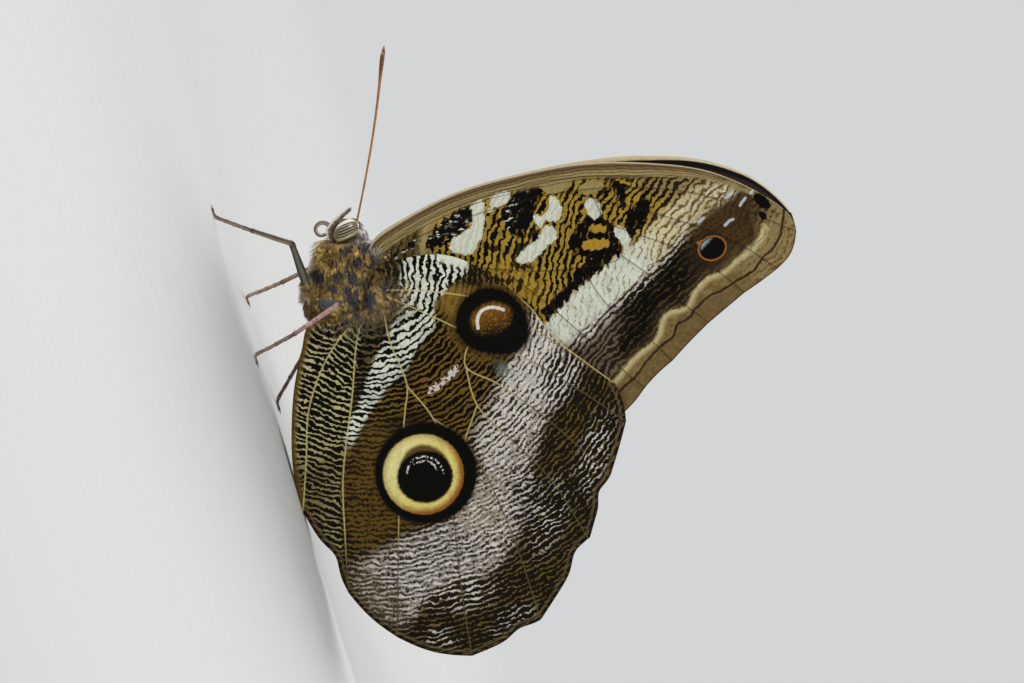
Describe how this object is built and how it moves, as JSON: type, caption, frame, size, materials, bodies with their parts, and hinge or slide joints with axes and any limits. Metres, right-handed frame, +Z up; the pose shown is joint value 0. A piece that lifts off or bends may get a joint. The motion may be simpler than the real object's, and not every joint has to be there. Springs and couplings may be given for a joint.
{
  "type": "owl butterfly",
  "caption": "Life-size resting butterfly with closed upright wings that carry large eyespots, a furry body, thin walking legs, long feelers and a coiled tongue; a still display model",
  "frame": {"origin": "on the floor, under the middle of the animal's bounding box", "axes": "+Z up, -X toward the head and +X toward the tail, -Y the animal's left side"},
  "size_m": [0.1109, 0.0284, 0.1005],
  "materials": {
    "head": "short fur, matte",
    "eye": "smooth, faintly glossy, pale with dark bands",
    "palp": "short scales and hairs, matte",
    "antenna": "hard skin in fine rings, low sheen",
    "foreleg": "hairy, matte",
    "femur": "scaly, matte",
    "tibia": "scaly, matte",
    "tarsus": "hard skin, low sheen",
    "forewing": "fine scales, matte, rippled brown pattern",
    "hindwing": "fine scales, matte, rippled brown pattern with eyespots",
    "proboscis": "smooth dark tube",
    "thorax": "long soft fur, matte",
    "abdomen": "short fur, matte"
  },
  "bodies": {
    "root": {"head": "head", "eye_left": "eye", "palp_left": "palp", "antenna_left": "antenna", "foreleg_left": "foreleg", "midleg_left_femur": "femur", "midleg_left_tibia": "tibia", "midleg_left_tarsus": "tarsus", "hindleg_left_femur": "femur", "hindleg_left_tibia": "tibia", "hindleg_left_tarsus": "tarsus", "forewing_left": "forewing", "hindwing_left": "hindwing", "eye_right": "eye", "palp_right": "palp", "antenna_right": "antenna", "foreleg_right": "foreleg", "midleg_right_femur": "femur", "midleg_right_tibia": "tibia", "midleg_right_tarsus": "tarsus", "hindleg_right_femur": "femur", "hindleg_right_tibia": "tibia", "hindleg_right_tarsus": "tarsus", "forewing_right": "forewing", "hindwing_right": "hindwing", "proboscis": "proboscis", "thorax": "thorax", "abdomen": "abdomen"}
  },
  "joints": []
}
